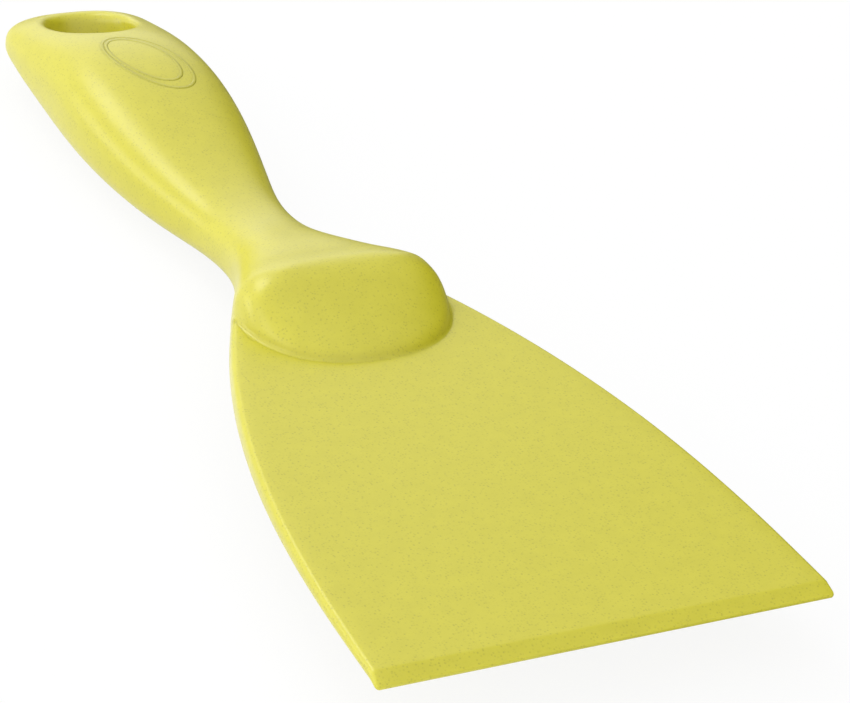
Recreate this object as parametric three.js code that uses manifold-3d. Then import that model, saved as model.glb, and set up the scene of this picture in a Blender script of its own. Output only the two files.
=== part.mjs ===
// Hand scraper: a flared, bevelled blade whose tang is held inside a moulded handle.
// Millimetres. +Y runs from the working edge to the hanging eye, +Z is up, and the origin is
// under the middle of the tool, at the height of its lowest point.

import * as THREE from 'three';
import { mergeVertices } from 'three/addons/utils/BufferGeometryUtils.js';
import Module from 'manifold-3d';

const wasm = await Module();
wasm.setup();

// Overall sizes
const totalLength = 205;
const bladeWidth = 75;
const bladeReach = 90;

// Blade
const frontThickness = 1.7;
const rootThickness = 4.6;
const frontLand = 0.6;
const bevelLength = 2.3;
const sideRounding = 0.9;
const cornerRadius = 0.6;
const bladeFlareShares = [[0, 1], [0.155, 0.97], [0.33, 0.905], [0.53, 0.758], [0.745, 0.493], [0.95, 0.11], [1, 0]];

// Tang, and the socket that it fits
const tangRootWidth = 20;
const tangTipWidth = 6;
const tangThickness = 2.6;
const tangReach = 20;
const jointGap = 0.3;

// Collar
const collarWidth = 36.2;
const collarRise = 9.9;
const collarFall = 6;
const noseReach = 17;
const noseFullnessShare = 0.97;
const footFillet = 1.8;
const edgeRounding = 2.4;
const roundingShare = 0.45;
const sideFollowPower = 6;

// Neck, grip and tail
const neckAlongShare = 0.248;
const neckWidth = 16.4;
const neckHeight = 10;
const gripAlongShare = 0.678;
const gripWidth = 29.8;
const gripHeight = 17.6;
const tailSetback = 5;
const tailWidth = 27.2;
const tailHeight = 8;
const endRounding = 11;
const endPower = 2.6;
const handleDrop = 4.5;

// How square each section is: 2 is an ellipse, and more is nearer to a rectangle
const collarPower = 3.4;
const neckPower = 2.6;
const gripPower = 2.6;

// From the collar to the neck: along, width, height above the middle, height below it
const collarFallShares = [
  [0, 1, 1, 1], [0.14, 0.81, 0.82, 1], [0.29, 0.58, 0.64, 1], [0.5, 0.28, 0.4, 0.95], [0.71, 0.08, 0.19, 0.6], [1, 0, 0, 0],
];

// From the neck to the grip, and from the grip to the tail: along, width, height
const gripRiseShares = [[0, 0, 0], [0.17, 0.07, 0.06], [0.37, 0.37, 0.3], [0.66, 0.8, 0.69], [0.96, 1, 0.98], [1, 1, 1]];
const tailFallShares = [[0, 0, 0], [0.22, 0.05, 0.03], [0.44, 0.17, 0.25], [0.66, 0.32, 0.55], [0.88, 0.68, 0.87], [1, 1, 1]];

// How the handle's middle drops below the blade's, from the collar to the end: along, drop
const dropShares = [[0, 0], [0.12, 0.15], [0.24, 0.64], [0.37, 0.96], [0.5, 0.88], [0.7, 0.59], [0.85, 0.7], [1, 1]];

// Hanging eye
const eyeWidth = 14.8;
const eyeLength = 17;
const eyeSetback = 13.6;
const eyeFlare = 0.7;
const eyeWaist = 4;

// How finely the surfaces are divided
const pointsAround = 48;
const bladeSteps = 12;
const filletSteps = 3;
const rampSteps = 3;
const handleSteps = 34;
const endSteps = 10;
const eyeSteps = 32;
const flareSteps = 4;
const cutOverrun = 2;
const weldShare = 0.001;

// Places worked out from the sizes above
const handleLength = totalLength - bladeReach;
const neckAt = bladeReach + handleLength * neckAlongShare;
const gripAt = bladeReach + handleLength * gripAlongShare;
const tailAt = totalLength - tailSetback;
const eyeAt = totalLength - eyeSetback;
const halfTurn = Math.PI;

const plastic = { roughness: 0.45, metalness: 0 };
const bladeColour = 0xd5ce60;
const handleColour = 0xe0db72;

const mix = (from, to, share) => from + (to - from) * share;
const smooth = (share) => share * share * (3 - 2 * share);
const clampShare = (share) => Math.min(1, Math.max(0, share));

// A smooth curve through a table's rows, level at both of its ends where asked.
function throughShares(table, column, share, levelStart, levelEnd) {
  const last = table.length - 1;
  let row = 0;
  while (row < last - 1 && share > table[row + 1][0]) {
    row += 1;
  }
  const slope = (index) => {
    if ((index === 0 && levelStart) || (index === last && levelEnd)) {
      return 0;
    }
    const before = table[Math.max(0, index - 1)];
    const after = table[Math.min(last, index + 1)];
    return (after[column] - before[column]) / (after[0] - before[0]);
  };
  const [start, end] = [table[row], table[row + 1]];
  const span = end[0] - start[0];
  const at = clampShare((share - start[0]) / span);
  const rise = end[column] - start[column];
  const first = slope(row) * span;
  const second = slope(row + 1) * span;
  return start[column] + first * at
    + (3 * rise - 2 * first - second) * at ** 2
    + (first + second - 2 * rise) * at ** 3;
}

// A section's points at even turns, from -1 to 1 each way.
function unitSection(power) {
  const points = [];
  for (let i = 0; i < pointsAround; i += 1) {
    const turn = (2 * halfTurn * i) / pointsAround;
    const across = Math.sign(Math.cos(turn)) * Math.abs(Math.cos(turn)) ** (2 / power);
    const up = Math.sign(Math.sin(turn)) * Math.abs(Math.sin(turn)) ** (2 / power);
    points.push({ across, up });
  }
  return points;
}

// The same number of points on a flat plate's section, a quarter of them to each side.
function plateSection() {
  const perSide = pointsAround / 4;
  const points = [];
  for (let i = 0; i < pointsAround; i += 1) {
    const step = i + perSide / 2;
    const run = Math.cos((halfTurn * (step % perSide)) / perSide);
    const side = Math.floor(step / perSide) % 4;
    const [across, up] = [[1, -run], [run, 1], [-1, run], [-run, -1]][side];
    points.push({ across, up });
  }
  return points;
}

// The blade's half width and half thickness at a distance behind the working edge.
function bladeHalfWidth(along) {
  const share = throughShares(bladeFlareShares, 1, clampShare(along / bladeReach), false, false);
  return mix(collarWidth / 2, bladeWidth / 2, share);
}

function bladeHalfThickness(along) {
  return mix(frontThickness, rootThickness, along / bladeReach) / 2;
}

// The blade's half width where its front corner is rounded off.
function cornerHalfWidth(along) {
  const inside = Math.max(0, cornerRadius - along);
  const cut = cornerRadius - Math.sqrt(cornerRadius ** 2 - inside ** 2);
  return bladeHalfWidth(along) - cut;
}

// A point of the plate's section. Its sides are rounded, and the bevel lowers its upper face.
function platePoint(point, along) {
  const halfWidth = cornerHalfWidth(along);
  const halfThickness = bladeHalfThickness(along);
  const onSide = Math.abs(point.across) === 1;
  const bulge = onSide ? sideRounding * (Math.sqrt(1 - point.up ** 2) - 1) : -sideRounding;
  const x = point.across * (halfWidth + bulge);
  const thickShare = mix(frontLand / frontThickness, 1, clampShare(along / bevelLength));
  return new THREE.Vector3(x, along, halfThickness * ((point.up + 1) * thickShare - 1));
}

// How far back the foot of the collar lies: a blunt nose whose tip is in the middle.
function footAlong(across) {
  return bladeReach - noseReach * Math.sqrt(1 - noseFullnessShare * across ** 2);
}

const footHalfWidth = bladeHalfWidth(footAlong(1));

// The direction out of the foot and along the blade, which follows the blade's side at its ends.
function footDirection(across) {
  const rise = (noseReach * noseFullnessShare * across) / Math.sqrt(1 - noseFullnessShare * across ** 2);
  const outward = new THREE.Vector2(rise / footHalfWidth, -1).normalize();
  const end = footAlong(1);
  const sideSlope = (bladeHalfWidth(end - noseReach) - bladeHalfWidth(end)) / noseReach;
  const alongSide = new THREE.Vector2(across * sideSlope, -1).normalize();
  return outward.lerp(alongSide, across ** sideFollowPower).normalize();
}

// The ring where the collar meets the blade, moved out along the blade by a distance.
function seamRing(distance) {
  return plateSection().map((point) => {
    const direction = footDirection(point.across);
    const along = footAlong(point.across) + direction.y * distance;
    const place = platePoint(point, along);
    if (Math.abs(point.across) < 1) {
      place.x = point.across * (footHalfWidth - sideRounding) + direction.x * distance;
    }
    return place;
  });
}

// The handle's size at a distance behind the working edge.
function handleSize(along) {
  const alongShare = clampShare((along - bladeReach) / handleLength);
  const centre = -handleDrop * throughShares(dropShares, 1, alongShare, true, false);
  if (along <= neckAt) {
    const share = clampShare((along - bladeReach) / (neckAt - bladeReach));
    const fallen = (column) => throughShares(collarFallShares, column, share, false, true);
    return {
      halfWidth: mix(neckWidth, collarWidth, fallen(1)) / 2,
      rise: mix(neckHeight / 2, collarRise, fallen(2)),
      fall: mix(neckHeight / 2, collarFall, fallen(3)),
      centre,
      power: mix(collarPower, neckPower, smooth(share)),
    };
  }
  if (along <= gripAt) {
    const share = (along - neckAt) / (gripAt - neckAt);
    const halfHeight = mix(neckHeight, gripHeight, throughShares(gripRiseShares, 2, share, true, true)) / 2;
    return {
      halfWidth: mix(neckWidth, gripWidth, throughShares(gripRiseShares, 1, share, true, true)) / 2,
      rise: halfHeight,
      fall: halfHeight,
      centre,
      power: mix(neckPower, gripPower, smooth(share)),
    };
  }
  const share = clampShare((along - gripAt) / (tailAt - gripAt));
  const close = clampShare((along - totalLength + endRounding) / endRounding);
  const endShare = (1 - close ** endPower) ** (1 / endPower);
  const halfHeight = (endShare * mix(gripHeight, tailHeight, throughShares(tailFallShares, 2, share, true, false))) / 2;
  return {
    halfWidth: (endShare * mix(gripWidth, tailWidth, throughShares(tailFallShares, 1, share, true, false))) / 2,
    rise: halfHeight,
    fall: halfHeight,
    centre,
    power: gripPower,
  };
}

function handleRing(along) {
  const size = handleSize(along);
  return unitSection(size.power).map((point) => new THREE.Vector3(
    point.across * size.halfWidth,
    along,
    size.centre + point.up * (point.up > 0 ? size.rise : size.fall),
  ));
}

// The rings of the collar's front: up the foot's fillet, over the ramp and round its upper edge.
function noseRings() {
  const foot = seamRing(0);
  const seam = seamRing(footFillet);
  const edge = handleRing(bladeReach);
  const back = handleRing(bladeReach + edgeRounding);
  const rings = [];
  const bend = (from, corner, to, share) => new THREE.Vector3()
    .addScaledVector(from, (1 - share) ** 2)
    .addScaledVector(corner, 2 * share * (1 - share))
    .addScaledVector(to, share ** 2);
  const reach = (i, size) => Math.min(size / foot[i].distanceTo(edge[i]), roundingShare);
  const filletEnd = foot.map((point, i) => point.clone().lerp(edge[i], reach(i, footFillet)));
  const roundStart = edge.map((point, i) => point.clone().lerp(foot[i], reach(i, edgeRounding)));
  for (let step = 0; step <= filletSteps; step += 1) {
    rings.push(foot.map((point, i) => bend(seam[i], point, filletEnd[i], step / filletSteps)));
  }
  for (let step = 1; step < rampSteps; step += 1) {
    rings.push(filletEnd.map((point, i) => point.clone().lerp(roundStart[i], step / rampSteps)));
  }
  for (let step = 0; step < filletSteps; step += 1) {
    rings.push(edge.map((point, i) => bend(roundStart[i], point, back[i], step / filletSteps)));
  }
  return rings;
}

// The handle's rings from behind the collar's edge to the rounded end.
function gripRings() {
  const start = bladeReach + edgeRounding;
  const finish = totalLength - endRounding;
  const rings = [];
  for (let step = 0; step <= handleSteps; step += 1) {
    rings.push(handleRing(mix(start, finish, step / handleSteps)));
  }
  for (let step = 1; step < endSteps; step += 1) {
    const turn = (halfTurn / 2) * (step / endSteps);
    rings.push(handleRing(finish + endRounding * Math.sin(turn)));
  }
  return rings;
}

// Joins the rings into one closed body. Each end is closed by strips between its two faces.
function loft(rings, endPoint) {
  const count = pointsAround;
  const positions = rings.flatMap((ring) => ring.flatMap((point) => [point.x, point.y, point.z]));
  const index = [];
  for (let ring = 0; ring < rings.length - 1; ring += 1) {
    for (let i = 0; i < count; i += 1) {
      const next = (i + 1) % count;
      const [low, high] = [ring * count, (ring + 1) * count];
      index.push(low + i, high + i, high + next);
      index.push(low + i, high + next, low + next);
    }
  }
  const closeEnd = (first, flip) => {
    for (let i = 0; i < count / 2; i += 1) {
      const [top, nextTop] = [first + i, first + i + 1];
      const [bottom, nextBottom] = [first + ((count - i) % count), first + count - i - 1];
      const triangles = [[top, nextTop, nextBottom], [top, nextBottom, bottom]];
      triangles
        .filter((corners) => new Set(corners).size === 3)
        .forEach(([a, b, c]) => index.push(...(flip ? [a, c, b] : [a, b, c])));
    }
  };
  closeEnd(0, false);
  const lastRing = (rings.length - 1) * count;
  if (endPoint) {
    positions.push(endPoint.x, endPoint.y, endPoint.z);
    for (let i = 0; i < count; i += 1) {
      index.push(lastRing + i, rings.length * count, lastRing + ((i + 1) % count));
    }
  } else {
    closeEnd(lastRing, true);
  }
  const geometry = new THREE.BufferGeometry();
  geometry.setAttribute('position', new THREE.Float32BufferAttribute(positions, 3));
  geometry.setIndex(index);
  return geometry;
}

function toSolid(geometry) {
  const bare = geometry.clone();
  bare.deleteAttribute('normal');
  bare.deleteAttribute('uv');
  const merged = mergeVertices(bare, frontLand * weldShare);
  return new wasm.Manifold(new wasm.Mesh({
    numProp: 3,
    vertProperties: new Float32Array(merged.attributes.position.array),
    triVerts: new Uint32Array(merged.index.array),
  }));
}

function toGeometry(solid) {
  const mesh = solid.getMesh();
  const geometry = new THREE.BufferGeometry();
  geometry.setAttribute('position', new THREE.Float32BufferAttribute(mesh.vertProperties, 3));
  geometry.setIndex(new THREE.Uint32BufferAttribute(mesh.triVerts, 1));
  geometry.computeVertexNormals();
  return geometry;
}

// The tang's tapered bar. With a clearance it becomes the socket that the tang fits.
function tangSolid(clearance) {
  const start = bladeReach - noseReach - footFillet - cutOverrun;
  const finish = bladeReach + tangReach + clearance;
  const rootHalf = tangRootWidth / 2 + clearance;
  const tipHalf = tangTipWidth / 2 + clearance;
  const outline = new THREE.Shape();
  outline.moveTo(-rootHalf, start);
  outline.lineTo(rootHalf, start);
  outline.lineTo(rootHalf, bladeReach);
  outline.lineTo(tipHalf, finish);
  outline.lineTo(-tipHalf, finish);
  outline.lineTo(-rootHalf, bladeReach);
  const depth = tangThickness + 2 * clearance;
  const bar = new THREE.ExtrudeGeometry(outline, { depth, bevelEnabled: false });
  bar.translate(0, 0, -depth / 2);
  return toSolid(bar);
}

// The blade: a tapering plate from its bevelled front edge back to the collar's foot, and the tang.
function bladeGeometry() {
  const section = plateSection();
  const seam = seamRing(footFillet + jointGap);
  const ringAt = (along) => section.map((point, i) => {
    const shift = (bladeReach - seam[i].y) * (along / bladeReach) ** 2;
    return platePoint(point, along - shift);
  });
  const rings = [ringAt(0), ringAt(cornerRadius / 2), ringAt(cornerRadius), ringAt(bevelLength)];
  for (let step = 1; step < bladeSteps; step += 1) {
    rings.push(ringAt(mix(bevelLength, bladeReach, step / bladeSteps)));
  }
  rings.push(seam);
  return toGeometry(toSolid(loft(rings)).add(tangSolid(0)));
}

// The hanging eye's cutter: an oval waist that flares out to both faces of the tail.
function eyeSolid() {
  const waist = eyeWaist / 2;
  const face = tailHeight / 2;
  const cutEnd = gripHeight / 2 + cutOverrun;
  const profile = [new THREE.Vector2(0, -cutEnd)];
  const half = [];
  for (let step = 0; step <= flareSteps; step += 1) {
    const turn = (halfTurn / 2) * (step / flareSteps);
    const radius = eyeLength / 2 + eyeFlare * (1 - Math.cos(turn));
    half.push(new THREE.Vector2(radius, waist + (face - waist) * Math.sin(turn)));
  }
  half.push(new THREE.Vector2(eyeLength / 2 + eyeFlare, cutEnd));
  half.toReversed().forEach((point) => profile.push(new THREE.Vector2(point.x, -point.y)));
  profile.push(...half, new THREE.Vector2(0, cutEnd));
  const cutter = new THREE.LatheGeometry(profile, eyeSteps);
  cutter.rotateX(halfTurn / 2);
  cutter.scale(eyeWidth / eyeLength, 1, 1);
  cutter.translate(0, eyeAt, handleSize(eyeAt).centre);
  return toSolid(cutter);
}

// The handle: collar, neck, grip and tail in one body, with the tang's socket and the hanging eye.
function handleGeometry() {
  const rings = [...noseRings(), ...gripRings()];
  const end = new THREE.Vector3(0, totalLength, handleSize(totalLength).centre);
  const body = toSolid(loft(rings, end));
  return toGeometry(body.subtract(tangSolid(jointGap)).subtract(eyeSolid()));
}

function piece(name, geometry, color) {
  const mesh = new THREE.Mesh(geometry, new THREE.MeshStandardMaterial({ color, ...plastic }));
  mesh.name = name;
  return mesh;
}

const scraper = new THREE.Group();
scraper.add(piece('blade', bladeGeometry(), bladeColour));
scraper.add(piece('handle', handleGeometry(), handleColour));
const lowest = new THREE.Box3().setFromObject(scraper).min.z;
scraper.position.set(0, -totalLength / 2, -lowest);

export default scraper;
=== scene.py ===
"""A yellow plastic hand scraper: a flared, bevelled blade and a moulded handle, dressed and lit."""

import math

import bpy
import numpy as np
from mathutils import Matrix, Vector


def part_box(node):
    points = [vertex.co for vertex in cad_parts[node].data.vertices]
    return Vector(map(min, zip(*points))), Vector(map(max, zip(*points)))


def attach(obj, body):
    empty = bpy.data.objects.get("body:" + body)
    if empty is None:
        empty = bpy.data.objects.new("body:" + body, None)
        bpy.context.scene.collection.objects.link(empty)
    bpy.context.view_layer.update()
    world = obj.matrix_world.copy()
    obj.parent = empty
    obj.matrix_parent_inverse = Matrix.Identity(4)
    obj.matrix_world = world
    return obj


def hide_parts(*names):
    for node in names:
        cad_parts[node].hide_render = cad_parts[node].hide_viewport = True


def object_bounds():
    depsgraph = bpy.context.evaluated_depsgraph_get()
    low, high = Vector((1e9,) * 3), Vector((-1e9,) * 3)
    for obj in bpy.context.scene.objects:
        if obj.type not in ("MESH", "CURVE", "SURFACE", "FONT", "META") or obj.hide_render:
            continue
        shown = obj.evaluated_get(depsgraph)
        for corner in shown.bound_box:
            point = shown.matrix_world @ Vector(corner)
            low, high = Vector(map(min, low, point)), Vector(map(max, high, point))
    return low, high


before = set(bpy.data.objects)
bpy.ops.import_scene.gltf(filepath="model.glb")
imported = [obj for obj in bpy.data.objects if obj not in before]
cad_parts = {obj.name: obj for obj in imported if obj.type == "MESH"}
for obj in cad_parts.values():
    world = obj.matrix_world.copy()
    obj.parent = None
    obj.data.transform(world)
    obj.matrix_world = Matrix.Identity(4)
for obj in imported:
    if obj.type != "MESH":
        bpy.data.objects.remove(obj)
cad_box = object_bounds()

# Shapes are worked out in millimetres, with x across, y back from the working edge, and z up from
# the blade's middle plane. They are moved into the part's frame, in metres, when a mesh is made.
# The two small numbers keep divisions away from zero.
METRE = 1000.0
LEAST_SIZE = 1e-3
NEAR_ZERO = 1e-9
blade_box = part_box("blade")
LENGTH = (cad_box[1][1] - cad_box[0][1]) * METRE
MIDDLE = LENGTH / 2
PLANE = (blade_box[0][2] + blade_box[1][2]) / 2 * METRE


def spline(places, values):
    """A natural cubic spline through given stations, held level outside them."""
    x, y = np.array(places, float), np.array(values, float)
    n = len(x)
    h = np.diff(x)
    m = np.eye(n)
    r = np.zeros(n)
    for i in range(1, n - 1):
        m[i, i - 1 : i + 2] = h[i - 1], 2 * (h[i - 1] + h[i]), h[i]
        r[i] = 6 * ((y[i + 1] - y[i]) / h[i] - (y[i] - y[i - 1]) / h[i - 1])
    c = np.linalg.solve(m, r)

    def at(q):
        q = np.clip(q, x[0], x[-1])
        i = np.clip(np.searchsorted(x, q) - 1, 0, n - 2)
        a, b = x[i + 1] - q, q - x[i]
        s = h[i]
        return (
            (c[i] * a**3 + c[i + 1] * b**3) / (6 * s)
            + (y[i] / s - c[i] * s / 6) * a
            + (y[i + 1] / s - c[i + 1] * s / 6) * b
        )

    return at


# The blade: its half-width along its length, its thickness in front and how fast that grows, the
# land and bevel at the working edge, the rounding of its sides and front corners, the soft crease
# behind the bevel, the tuck of the front edge, and the places and columns of its mesh.
blade_half = spline(
    [0, 14, 30, 48, 67, 86, 92, 104],
    [37.46, 36.92, 35.6, 32.77, 27.7, 20.11, 17.2, 12.0],
)
FRONT_THICK = 1.7
THICK_GAIN = 0.0309
THICK_END = 104.0
LAND = 0.6
BEVEL = 2.35
SIDE_ROUND = 1.0
CORNER_ROUND = 0.6
CREASE_REACH = 0.25
CREASE_DROP = 0.02
TIP_REACH = 0.25
TIP_TUCK = 0.1
FRONT_STATIONS = [0.0, 0.08, 0.25, 0.6, 1.0, 1.6, 2.15, 2.3, 2.42, 2.6, 3.2, 4.5, 7.0]
PLAIN_START, PLAIN_END, PLAIN_STEP = 10.0, 92.5, 2.5
SIDE_STEPS = 6
PLATE_COLUMNS = 28
THIN_SHARE = 0.98

# The blade's rear part as the handle sees it, where the collar closes over it.
SHEATH_START = 90.0
SHEATH_END = 97.0
SHEATH_TAPER = 0.45
SHEATH_GAP = 0.012

# The handle's sections, from the collar over the neck and grip to the rounded end: half-width, rise
# above and fall below the centre line, the centre line's height, and the sections' squareness.
STATIONS = [82, 89, 93, 98, 103.5, 110, 118, 127, 137, 151, 166, 179, 189, 195, 199, 203, 206]
half_width = spline(
    STATIONS,
    [
        18.9, 18.2, 16.7, 14.0, 11.15, 8.97, 8.22, 8.74, 10.85,
        13.7, 15.05, 14.9, 14.7, 14.2, 13.8, 13.4, 13.0,
    ],
)
rise = spline(
    STATIONS,
    [9.65, 9.65, 9.0, 7.75, 6.85, 5.85, 5.0, 5.25, 6.15, 7.6, 8.7, 8.2, 6.2, 5.0, 4.3, 3.7, 3.4],
)
fall = spline(
    STATIONS,
    [5.4, 5.6, 5.9, 6.1, 6.0, 5.6, 5.0, 5.25, 6.15, 7.6, 8.7, 8.2, 6.1, 4.75, 4.05, 3.8, 3.8],
)
centre = spline([82, 97, 128, 168, 205], [0, 0, -4.09, -2.69, -4.5])
power = spline(
    [82, 90, 97, 104, 114, 126, 150, 180, 206],
    [4.1, 4.0, 3.6, 3.0, 2.6, 2.6, 2.7, 2.65, 2.65],
)
END_ROUND = 11.0
END_POWER = 2.6
HANDLE_FRONT = 67.5

# The collar's nose: where its foot ends at the blade's sides, how far it reaches forward from
# there, how full its curve is, how it rolls down to its foot, and where its upper and lower edges
# lie. Then the collar's own size there, and how far back the nose counts and how softly it blends.
FOOT_END = 90.5
FOOT_REACH = 17.3
FOOT_FULL = 2.37
FOOT_HEIGHT = 2.15
FOOT_ROLL = 0.13
FOOT_ROLL_BLEND = 0.16
TOP_EDGE = 88.9
EDGE_HEIGHT = 9.4
UNDER_HEIGHT = 5.4
COLLAR_HALF = 17.9
COLLAR_RISE = 9.9
COLLAR_FALL = 5.8
COLLAR_POWER = 3.4
CROWN_GAP = 0.1
LEAST_LEVEL = 0.02
FLANK_SLOPE = 8.0
NOSE_ZONE = 100.0
NOSE_BLEND = 1.6
SCALING_STEP = 0.05
SCALING_FLOOR = 0.05
FOOT_BLEND = 0.6

# The hanging eye: its middle and half-sizes, how square its oval is, how its wall leans in as it
# goes down, and how the rounding of its rim grows towards the end.
EYE_MIDDLE, EYE_HALF_WIDTH, EYE_HALF_LENGTH = 191.4, 7.6, 8.7
EYE_POWER = 2.1
EYE_DRAFT = 0.55
DRAFT_TOP = 3.0
DRAFT_LEAST, DRAFT_MOST = -0.2, 2.9
DRAFT_SIDE_SHARE = 0.4
EYE_ZONE = 176.0
RIM_BLEND = 1.2
RIM_GROWTH_START, RIM_GROWTH_REACH = 190.0, 8.0


def mixed(a, b, share):
    return a + (b - a) * share


def blade_thick(y):
    """Half of the blade's thickness."""
    return (FRONT_THICK + THICK_GAIN * np.clip(y, 0, THICK_END)) / 2


def smooth_max(a, b, k):
    """The greater of two values, with a blend of width k where they meet."""
    h = np.maximum(k - np.abs(a - b), 0) / k
    return np.maximum(a, b) + h * h * k / 4


def smooth_min(a, b, k):
    return -smooth_max(-a, -b, k)


def loft_field(p):
    """Distance to the handle's loft, with its rounded end."""
    x, y, z = p
    a, c, n = half_width(y), centre(y), power(y)
    b = np.where(z > c, rise(y), fall(y))
    end = np.clip((y - (LENGTH - END_ROUND)) / END_ROUND, 0, None)
    u = ((np.abs(x) / a) ** END_POWER + end**END_POWER) ** (1 / END_POWER)
    w = np.abs(z - c) / b
    g = np.maximum((u**n + w**n) ** (1 / n), LEAST_SIZE)
    slope = np.sqrt(((u / g) ** (n - 1) / a) ** 2 + ((w / g) ** (n - 1) / b) ** 2)
    return (g - 1) / slope


def nose_field(p):
    """How far a point lies in front of the collar's sloping nose."""
    x, y, z = p
    over = z > 0
    h = np.abs(z)
    edge = np.where(over, EDGE_HEIGHT, UNDER_HEIGHT)
    top = np.where(over, COLLAR_RISE, COLLAR_FALL)
    climb = (h - FOOT_HEIGHT) / (edge - FOOT_HEIGHT)
    crown = 1 - (np.minimum(h, top - CROWN_GAP) / top) ** COLLAR_POWER
    level = np.clip(crown, LEAST_LEVEL, 1) ** (1 / COLLAR_POWER)
    q = np.abs(x) / (COLLAR_HALF * level)
    bow = np.clip(1 - np.minimum(q, 1) ** FOOT_FULL, 0, 1) ** (1 / FOOT_FULL)
    back = FOOT_END + (TOP_EDGE - FOOT_END) * np.clip(climb, 0, 1)
    slant = smooth_min((1 + FOOT_ROLL) * (1 - climb), np.ones_like(climb), FOOT_ROLL_BLEND)
    front = back - FOOT_REACH * slant * bow + FLANK_SLOPE * np.clip(q - 1, 0, None)
    return front - y


def gradient(field, p, step):
    """The slope of a field along x, y and z."""
    parts = []
    for k in range(3):
        shift = [step if i == k else 0.0 for i in range(3)]
        fore = field([v + s for v, s in zip(p, shift)])
        back = field([v - s for v, s in zip(p, shift)])
        parts.append((fore - back) / (2 * step))
    return parts


def scaled(field, p):
    """A field divided by its slope, so that it's near to a distance."""
    total = sum(part**2 for part in gradient(field, p, SCALING_STEP))
    return field(p) / np.sqrt(np.maximum(total, SCALING_FLOOR))


def sheath_field(p):
    """Distance to the blade's rear part, whose sides are rounded and taper inside the collar."""
    x, y, z = p
    inset = SHEATH_TAPER * np.clip(y - SHEATH_START, 0, None)
    u = np.abs(x) - blade_half(y) + inset + SIDE_ROUND + SHEATH_GAP
    w = np.abs(z) - blade_thick(y) + SIDE_ROUND + SHEATH_GAP
    corner = np.sqrt(np.clip(u, 0, None) ** 2 + np.clip(w, 0, None) ** 2)
    out = corner + np.minimum(np.maximum(u, w), 0) - SIDE_ROUND
    return np.maximum(out, y - SHEATH_END)


def eye_field(p):
    """Distance into the hanging eye's oval bore, whose wall leans in as it goes down."""
    x, y, z = p
    draft = np.clip((centre(y) + DRAFT_TOP - z) * EYE_DRAFT, DRAFT_LEAST, DRAFT_MOST)
    a, b = EYE_HALF_WIDTH - DRAFT_SIDE_SHARE * draft, EYE_HALF_LENGTH - draft
    u, v = np.abs(x) / a, np.abs(y - EYE_MIDDLE) / b
    g = np.maximum((u**EYE_POWER + v**EYE_POWER) ** (1 / EYE_POWER), LEAST_SIZE)
    bend = EYE_POWER - 1
    slope = np.sqrt(((u / g) ** bend / a) ** 2 + ((v / g) ** bend / b) ** 2)
    return (g - 1) / slope


def handle_field(p):
    """The whole handle: the loft, cut by the nose, closed over the blade and pierced by the eye."""
    body = loft_field(p)
    near = p[1] < NOSE_ZONE
    if np.any(near):
        part = [v[near] for v in p]
        body[near] = smooth_max(body[near], scaled(nose_field, part), NOSE_BLEND)
        body[near] = smooth_min(body[near], sheath_field(part), FOOT_BLEND)
    far = p[1] > EYE_ZONE
    if np.any(far):
        part = [v[far] for v in p]
        growth = np.clip((part[1] - RIM_GROWTH_START) / RIM_GROWTH_REACH, 0, 1)
        body[far] = smooth_max(body[far], -eye_field(part), RIM_BLEND + RIM_BLEND * growth)
    return np.maximum(body, HANDLE_FRONT - p[1])


# The box that the handle's field is meshed in, the size of a cell, and how the points are
# polished: the rounds, the step for slopes, the least slope squared and the longest move as a
# share of a cell.
NET_LOW, NET_HIGH = (-22.0, 66.5, -12.5), (22.0, 206.5, 11.5)
CELL = 0.5
POLISH_ROUNDS = 4
POLISH_STEP = 0.04
LEAST_SLOPE = 0.1
MOVE_SHARE = 0.3


def crossings(value, axes, cell):
    """The mean crossing point in each grid cell that a field's zero surface passes through."""
    inside = value < 0
    cells = [s - 1 for s in value.shape]
    total = np.zeros(cells + [3])
    count = np.zeros(cells)
    corner = np.stack(np.meshgrid(*[ax[:-1] for ax in axes], indexing="ij"), -1)
    for axis in range(3):
        others = [k for k in range(3) if k != axis]
        for i in (0, 1):
            for j in (0, 1):
                cut = [slice(None)] * 3
                cut[others[0]] = slice(i, cells[others[0]] + i)
                cut[others[1]] = slice(j, cells[others[1]] + j)
                one, two = list(cut), list(cut)
                one[axis] = slice(0, cells[axis])
                two[axis] = slice(1, cells[axis] + 1)
                f0, f1 = value[tuple(one)], value[tuple(two)]
                hit = inside[tuple(one)] != inside[tuple(two)]
                share = np.where(hit, f0 / np.where(hit, f0 - f1, 1), 0)
                spot = corner.copy()
                spot[..., axis] += share * cell
                spot[..., others[0]] += i * cell
                spot[..., others[1]] += j * cell
                total += np.where(hit[..., None], spot, 0)
                count += hit
    used = count > 0
    number = np.full(cells, -1)
    number[used] = np.arange(used.sum())
    return total[used] / count[used][:, None], number


def facing_quads(inside, number):
    """One quad for each grid edge that the surface crosses, turned to face outwards."""
    quads = []
    shape = inside.shape
    for axis in range(3):
        a, b = [(1, 2), (2, 0), (0, 1)][axis]
        one, two = [slice(1, s - 1) for s in shape], [slice(1, s - 1) for s in shape]
        one[axis] = slice(0, shape[axis] - 1)
        two[axis] = slice(1, shape[axis])
        in0, in1 = inside[tuple(one)], inside[tuple(two)]
        for flip, hit in ((False, in0 & ~in1), (True, ~in0 & in1)):
            at = np.argwhere(hit)
            at += np.array([0 if k == axis else 1 for k in range(3)])
            ring = []
            for da, db in ((-1, -1), (0, -1), (0, 0), (-1, 0)):
                step = np.zeros(3, int)
                step[a], step[b] = da, db
                ring.append(number[tuple((at + step).T)])
            ring = np.stack(ring, 1)
            quads.append(ring[:, ::-1] if flip else ring)
    return np.concatenate(quads)


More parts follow.
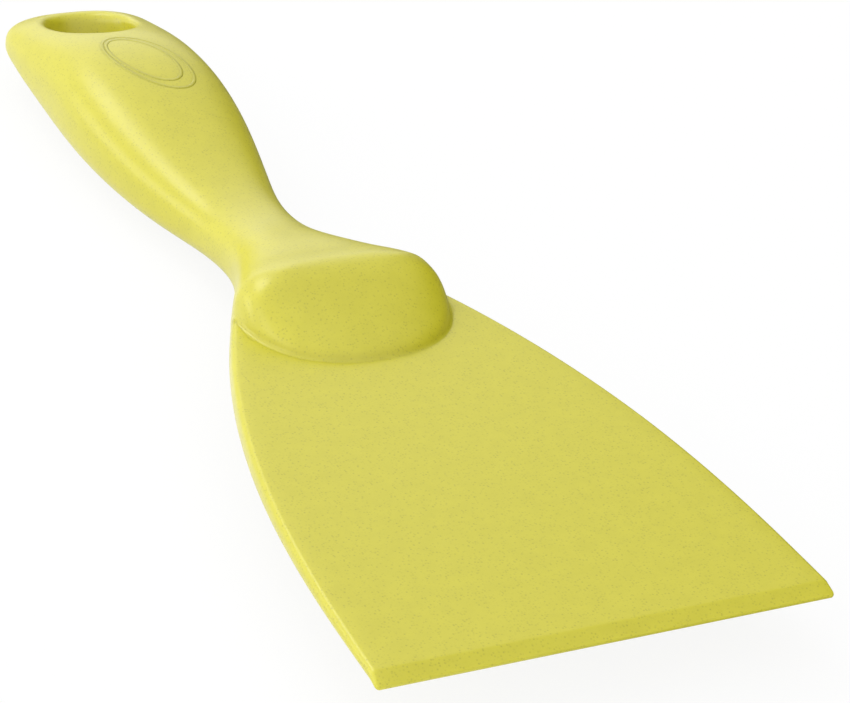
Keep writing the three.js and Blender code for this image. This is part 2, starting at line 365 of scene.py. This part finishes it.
def polished(field, points, cell):
    """The points moved onto the field's zero surface, a short way at a time."""
    for _ in range(POLISH_ROUNDS):
        p = list(points.T)
        slope = np.stack(gradient(field, p, POLISH_STEP), 1)
        size = np.maximum((slope**2).sum(1), LEAST_SLOPE)
        move = slope * (field(p) / size)[:, None]
        reach = np.sqrt((move**2).sum(1))[:, None]
        points = points - move * np.minimum(1, MOVE_SHARE * cell / np.maximum(reach, NEAR_ZERO))
    return points


def net(field, low, high, cell):
    """A closed quad mesh of a field's zero surface, by surface nets."""
    axes = [np.arange(lo, hi + cell, cell) for lo, hi in zip(low, high)]
    grid = np.meshgrid(*axes, indexing="ij")
    value = field([g.ravel() for g in grid]).reshape(grid[0].shape)
    points, number = crossings(value, axes, cell)
    return polished(field, points, cell), facing_quads(value < 0, number)


def make(name, points, faces, node, slot):
    """A mesh piece in the part's frame that stands for a node."""
    placed = (np.asarray(points) + np.array([0, -MIDDLE, PLANE])) / METRE
    mesh = bpy.data.meshes.new(name)
    mesh.from_pydata(placed.tolist(), [], [list(map(int, f)) for f in faces])
    mesh.validate()
    mesh.polygons.foreach_set("use_smooth", [True] * len(mesh.polygons))
    mesh.update()
    piece = bpy.data.objects.new(name, mesh)
    bpy.context.scene.collection.objects.link(piece)
    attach(piece, "root")
    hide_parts(node)
    return piece


def blade_section(y, half, top, bottom):
    """One closed loop round the blade, from the bottom of its right side and anticlockwise."""
    r = min(SIDE_ROUND, (top - bottom) / 2 * THIN_SHARE)
    right = []
    for turn in np.linspace(-90, 90, 2 * SIDE_STEPS + 1):
        z = (top - r if turn > 0 else bottom + r) + r * math.sin(math.radians(turn))
        if turn == 0:
            z = (top + bottom) / 2
        right.append((half - r + r * math.cos(math.radians(turn)), z))
    left = [(-x, z) for x, z in reversed(right)]
    inner = np.linspace(half - r, -(half - r), PLATE_COLUMNS + 1)[1:-1]
    upper = [(x, top) for x in inner]
    lower = [(-x, bottom) for x in inner]
    return [(x, y, z) for x, z in right + upper + left + lower]


def blade_loop(y):
    """The blade's section at one place, with its bevel, soft crease and rounded front corners."""
    base = float(blade_thick(y))
    crease = max(0.0, 1 - abs(y - BEVEL) / CREASE_REACH)
    top = -base + mixed(LAND, 2 * base, min(1.0, y / BEVEL)) - CREASE_DROP * crease
    low = -base
    inside = max(0.0, CORNER_ROUND - y)
    half = float(blade_half(y)) - CORNER_ROUND + math.sqrt(CORNER_ROUND**2 - inside**2)
    if y < TIP_REACH:
        tuck = TIP_TUCK * (1 - math.sqrt(1 - (1 - y / TIP_REACH) ** 2))
        top -= tuck
        low += tuck
    return blade_section(y, half, top, low)


def closed_loft(loops):
    """Points and faces of a loft through loops of equal length, closed at both ends."""
    count = len(loops[0])
    points = [p for loop in loops for p in loop]
    faces = []
    for row in range(len(loops) - 1):
        for i in range(count):
            j = (i + 1) % count
            a, b = row * count, (row + 1) * count
            faces.append((a + i, b + i, b + j, a + j))
    faces.append(tuple(range(count)))
    last = (len(loops) - 1) * count
    faces.append(tuple(last + i for i in reversed(range(count))))
    return points, faces


def blade_mesh():
    """The plate, from its thin front edge over the bevel and back under the collar."""
    stations = FRONT_STATIONS + list(np.arange(PLAIN_START, PLAIN_END, PLAIN_STEP))
    return closed_loft([blade_loop(y) for y in stations])


blade = make("scraper_blade", *blade_mesh(), "blade", "blade_plastic")
handle = make(
    "scraper_handle", *net(handle_field, NET_LOW, NET_HIGH, CELL), "handle", "handle_plastic"
)

# The badge on the grip: two plain oval beads, one in the other, that lean across the grip.
RING_LEAN = math.radians(20.6)
BEAD_HALF_WIDTH = 0.32
BEAD_RISE = 0.06
BEAD_STEPS = 120
BEAD_SIDES = 8


def grip_top(x, y):
    """The height of the handle's upper surface."""
    n = power(y)
    return float(centre(y) + rise(y) * (1 - (np.abs(x) / half_width(y)) ** n) ** (1 / n))


def badge_ring(name, middle, half_width_mm, half_length_mm):
    """A low oval bead that follows the top of the grip."""
    points = []
    for turn in np.linspace(0, 2 * math.pi, BEAD_STEPS, endpoint=False):
        c, s = math.cos(turn), math.sin(turn)
        out = np.array([c / half_width_mm, s / half_length_mm])
        out /= np.linalg.norm(out)
        for step in np.linspace(0, 2 * math.pi, BEAD_SIDES, endpoint=False):
            side, lift = BEAD_HALF_WIDTH * math.cos(step), BEAD_RISE * math.sin(step)
            u, v = half_width_mm * c + side * out[0], half_length_mm * s + side * out[1]
            x = middle[0] + u * math.cos(RING_LEAN) - v * math.sin(RING_LEAN)
            y = middle[1] + u * math.sin(RING_LEAN) + v * math.cos(RING_LEAN)
            points.append((x, y, grip_top(x, y) + lift))
    faces = []
    for i in range(BEAD_STEPS):
        for k in range(BEAD_SIDES):
            a, b = i * BEAD_SIDES, (i + 1) % BEAD_STEPS * BEAD_SIDES
            faces.append((a + k, b + k, b + (k + 1) % BEAD_SIDES, a + (k + 1) % BEAD_SIDES))
    return make(name, points, faces, "handle", "handle_plastic")


outer_ring = badge_ring(
    "badge_outer_ring", middle=(0.97, 168.5), half_width_mm=5.77, half_length_mm=10.15
)
inner_ring = badge_ring(
    "badge_inner_ring", middle=(0.4, 169.2), half_width_mm=4.57, half_length_mm=8.3
)

# The plastic: its colour, and the scale, reach and strength of its mottling, specks and orange
# peel.
YELLOW = (0.55, 0.511, 0.028)
MOTTLE_SCALE, MOTTLE_DETAIL = 380, 3
MOTTLE_START, MOTTLE_END = 0.3, 0.7
MOTTLE_DARK, MOTTLE_LIGHT = (0.975, 0.975, 0.93), (1.025, 1.025, 1.06)
SPECK_TINT = (0.35, 0.34, 0.5)
SPECK_SCALE = 2100
SPECK_CORE, SPECK_RIM = 0.12, 0.42
SPECK_FAINTEST = 0.05
SPECK_STRENGTH = 0.42
ROUGH_LEAST, ROUGH_MOST = 0.3, 0.37
PEEL_SCALE, PEEL_DETAIL = 420, 2
PEEL_STRENGTH, PEEL_DEPTH = 0.08, 0.0002


def tree(material):
    """A material's nodes, links and main shader."""
    material.use_nodes = True
    nodes, links = material.node_tree.nodes, material.node_tree.links
    return nodes, links, nodes["Principled BSDF"]


def add(nodes, kind, values):
    """A new shader node with the given values on its input sockets."""
    node = nodes.new(kind)
    for name, value in values.items():
        node.inputs[name].default_value = value
    return node


def multiplied(nodes, links, first, second):
    """The product of a socket and another socket or a number."""
    node = nodes.new("ShaderNodeMath")
    node.operation = "MULTIPLY"
    links.new(first, node.inputs[0])
    if isinstance(second, (int, float)):
        node.inputs[1].default_value = second
    else:
        links.new(second, node.inputs[1])
    return node.outputs["Value"]


def summed(nodes, links, first, second):
    """The sum of two sockets."""
    node = nodes.new("ShaderNodeMath")
    node.operation = "ADD"
    links.new(first, node.inputs[0])
    links.new(second, node.inputs[1])
    return node.outputs["Value"]


def tinted(colour, tint):
    """A colour with each of its channels multiplied by the tint's."""
    return tuple(c * t for c, t in zip(colour, tint)) + (1,)


def speck_strength(nodes, links, place):
    """Small round specks in the plastic, each with its own strength."""
    cells = add(nodes, "ShaderNodeTexVoronoi", {"Scale": SPECK_SCALE})
    links.new(place, cells.inputs["Vector"])
    fade = {"From Min": SPECK_CORE, "From Max": SPECK_RIM, "To Min": 1, "To Max": 0}
    dot = add(nodes, "ShaderNodeMapRange", fade)
    links.new(cells.outputs["Distance"], dot.inputs["Value"])
    chance = nodes.new("ShaderNodeSeparateColor")
    links.new(cells.outputs["Color"], chance.inputs["Color"])
    pick = add(nodes, "ShaderNodeMapRange", {"From Min": SPECK_FAINTEST, "From Max": 1})
    links.new(chance.outputs["Red"], pick.inputs["Value"])
    both = multiplied(nodes, links, dot.outputs["Result"], pick.outputs["Result"])
    return multiplied(nodes, links, both, SPECK_STRENGTH)


def plastic(name, colour):
    """Satin plastic with faint mottling, dark specks, orange peel and a little translucency."""
    material = bpy.data.materials.new(name)
    nodes, links, shader = tree(material)
    place = nodes.new("ShaderNodeTexCoord").outputs["Object"]

    mottle = add(nodes, "ShaderNodeTexNoise", {"Scale": MOTTLE_SCALE, "Detail": MOTTLE_DETAIL})
    links.new(place, mottle.inputs["Vector"])
    ramp = nodes.new("ShaderNodeValToRGB")
    dark, light = ramp.color_ramp.elements
    dark.position, light.position = MOTTLE_START, MOTTLE_END
    dark.color, light.color = tinted(colour, MOTTLE_DARK), tinted(colour, MOTTLE_LIGHT)
    links.new(mottle.outputs["Fac"], ramp.inputs["Fac"])

    stain = nodes.new("ShaderNodeMix")
    stain.data_type = "RGBA"
    stain.inputs["B"].default_value = tinted(colour, SPECK_TINT)
    links.new(speck_strength(nodes, links, place), stain.inputs["Factor"])
    links.new(ramp.outputs["Color"], stain.inputs["A"])
    links.new(stain.outputs["Result"], shader.inputs["Base Color"])

    rough = add(nodes, "ShaderNodeMapRange", {"To Min": ROUGH_LEAST, "To Max": ROUGH_MOST})
    links.new(mottle.outputs["Fac"], rough.inputs["Value"])
    links.new(rough.outputs["Result"], shader.inputs["Roughness"])

    peel = add(nodes, "ShaderNodeTexNoise", {"Scale": PEEL_SCALE, "Detail": PEEL_DETAIL})
    links.new(place, peel.inputs["Vector"])
    bump = add(nodes, "ShaderNodeBump", {"Strength": PEEL_STRENGTH, "Distance": PEEL_DEPTH})
    links.new(peel.outputs["Fac"], bump.inputs["Height"])
    links.new(bump.outputs["Normal"], shader.inputs["Normal"])

    shader.inputs["Metallic"].default_value = 0
    shader.inputs["IOR"].default_value = 1.62
    shader.inputs["Subsurface Weight"].default_value = 0.3
    shader.inputs["Subsurface Radius"].default_value = (1.0, 0.95, 0.3)
    shader.inputs["Subsurface Scale"].default_value = 0.003
    return material


blade.data.materials.append(plastic("blade_plastic", YELLOW))
handle_plastic = plastic("handle_plastic", YELLOW)
for piece in (handle, outer_ring, inner_ring):
    piece.data.materials.append(handle_plastic)

# The floor: its half-size and height in metres, its grey, the share of plain white in what the
# camera sees of it, and the strength that the object mirrors of it, which falls from left to right
# over a short stretch.
FLOOR_HALF = 3.0
FLOOR_HEIGHT = -0.0003
FLOOR_GREY = 0.86
SEEN_SHARE = 0.9
MIRROR_FADE = 0.02
MIRROR_LEFT, MIRROR_RIGHT = 1.3, 0.2


def floor_material():
    """White to the camera and in reflections, with a little of the object's shadow on it."""
    material = bpy.data.materials.new("floor_white")
    nodes, links, shader = tree(material)
    shader.inputs["Base Color"].default_value = (FLOOR_GREY, FLOOR_GREY, FLOOR_GREY, 1)
    shader.inputs["Roughness"].default_value = 0.9
    shader.inputs["Specular IOR Level"].default_value = 0.1
    path = nodes.new("ShaderNodeLightPath")
    camera, glossy = path.outputs["Is Camera Ray"], path.outputs["Is Glossy Ray"]
    place = nodes.new("ShaderNodeTexCoord")
    apart = nodes.new("ShaderNodeSeparateXYZ")
    links.new(place.outputs["Object"], apart.inputs["Vector"])
    reach = {"From Min": MIRROR_FADE, "From Max": -MIRROR_FADE}
    strength = {"To Min": MIRROR_RIGHT, "To Max": MIRROR_LEFT}
    side = add(nodes, "ShaderNodeMapRange", reach | strength)
    links.new(apart.outputs["X"], side.inputs["Value"])
    mirrored = multiplied(nodes, links, glossy, side.outputs["Result"])
    glow = nodes.new("ShaderNodeEmission")
    links.new(summed(nodes, links, camera, mirrored), glow.inputs["Strength"])
    seen = summed(nodes, links, multiplied(nodes, links, camera, SEEN_SHARE), glossy)
    blend = nodes.new("ShaderNodeMixShader")
    links.new(seen, blend.inputs["Fac"])
    links.new(shader.outputs["BSDF"], blend.inputs[1])
    links.new(glow.outputs["Emission"], blend.inputs[2])
    links.new(blend.outputs["Shader"], nodes["Material Output"].inputs["Surface"])
    return material


def pale_floor():
    """A wide square just under the object."""
    mesh = bpy.data.meshes.new("floor")
    s = FLOOR_HALF
    mesh.from_pydata([(-s, -s, 0), (s, -s, 0), (s, s, 0), (-s, s, 0)], [], [(0, 1, 2, 3)])
    floor = bpy.data.objects.new("floor", mesh)
    floor.location.z = FLOOR_HEIGHT
    bpy.context.scene.collection.objects.link(floor)
    mesh.materials.append(floor_material())


pale_floor()

# The sky: even light from the left and overhead, which falls to none towards the right.
SKY_STRENGTH = 1.2
SKY_FADE_START, SKY_FADE_END = 0.35, 0.75


def studio_sky():
    """The world's soft light."""
    world = bpy.data.worlds.new("studio")
    bpy.context.scene.world = world
    world.use_nodes = True
    nodes, links = world.node_tree.nodes, world.node_tree.links
    nodes["Background"].inputs["Color"].default_value = (1, 1, 1, 1)
    ways = nodes.new("ShaderNodeTexCoord")
    part = nodes.new("ShaderNodeSeparateXYZ")
    links.new(ways.outputs["Generated"], part.inputs["Vector"])
    fade = {
        "From Min": SKY_FADE_START,
        "From Max": SKY_FADE_END,
        "To Min": SKY_STRENGTH,
        "To Max": 0,
    }
    dim = add(nodes, "ShaderNodeMapRange", fade)
    links.new(part.outputs["X"], dim.inputs["Value"])
    links.new(dim.outputs["Result"], nodes["Background"].inputs["Strength"])


def upright(right, up, back, place):
    """A placing matrix from three directions and a place."""
    return Matrix([[right[i], up[i], back[i], place[i]] for i in range(3)] + [[0, 0, 0, 1]])


def lamp(name, place, size, power_w):
    """A soft square lamp that faces the object's middle, with its place and size in metres."""
    light = bpy.data.lights.new(name, "AREA")
    light.shape = "SQUARE"
    light.size = size
    light.energy = power_w
    item = bpy.data.objects.new(name, light)
    bpy.context.scene.collection.objects.link(item)
    place = np.array(place, float)
    back = place / np.linalg.norm(place)
    right = np.cross((0, 0, 1), back)
    right /= np.linalg.norm(right)
    item.matrix_world = upright(right, np.cross(back, right), back, place)


studio_sky()
lamp("ridge", (-0.26, 0.8, 1.04), size=0.5, power_w=2.8)
lamp("left", (-1.06, 0.68, 0.26), size=0.6, power_w=1.9)
lamp("corner", (-0.95, -0.1, 0.73), size=0.6, power_w=1.2)
lamp("back", (0.42, 1.2, 0.35), size=0.9, power_w=1.0)
lamp("back_left", (-0.77, 0.85, 0.61), size=1.0, power_w=0.6)

# The camera, from the photograph's viewing angle: turn, tilt and roll in degrees, the focal length
# in pixels of the photograph, how far the camera is from the working edge in millimetres, and where
# the working edge's middle falls in the picture.
TURN, TILT, ROLL = -31.84, 30.79, 8.82
FOCAL, AWAY = 3400.0, 475.04
EDGE_AT = (614.65, 638.0)
WIDE, TALL = 850, 703
SENSOR_WIDTH = 36.0
CLIP_START, CLIP_END = 0.01, 20.0


def photo_camera():
    """The camera that sees the object as the photograph does."""
    a, e, r = (math.radians(v) for v in (TURN, TILT, ROLL))
    back = np.array([math.sin(a) * math.cos(e), -math.cos(a) * math.cos(e), math.sin(e)])
    right = np.array([math.cos(a), math.sin(a), 0])
    up = np.cross(back, right)
    right, up = math.cos(r) * right + math.sin(r) * up, -math.sin(r) * right + math.cos(r) * up
    across = (EDGE_AT[0] - WIDE / 2) * AWAY / FOCAL
    down = (EDGE_AT[1] - TALL / 2) * AWAY / FOCAL
    spot = -np.array([right, up, back]).T @ np.array([across, -down, -AWAY])
    spot = (spot + np.array([0, -MIDDLE, PLANE])) / METRE
    data = bpy.data.cameras.new("camera")
    data.sensor_fit = "HORIZONTAL"
    data.sensor_width = SENSOR_WIDTH
    data.lens = FOCAL * SENSOR_WIDTH / WIDE
    data.clip_start = CLIP_START
    data.clip_end = CLIP_END
    camera = bpy.data.objects.new("camera", data)
    bpy.context.scene.collection.objects.link(camera)
    camera.matrix_world = upright(right, up, back, spot)
    bpy.context.scene.camera = camera


photo_camera()
bpy.context.scene.view_settings.view_transform = "Standard"

bpy.context.view_layer.update()
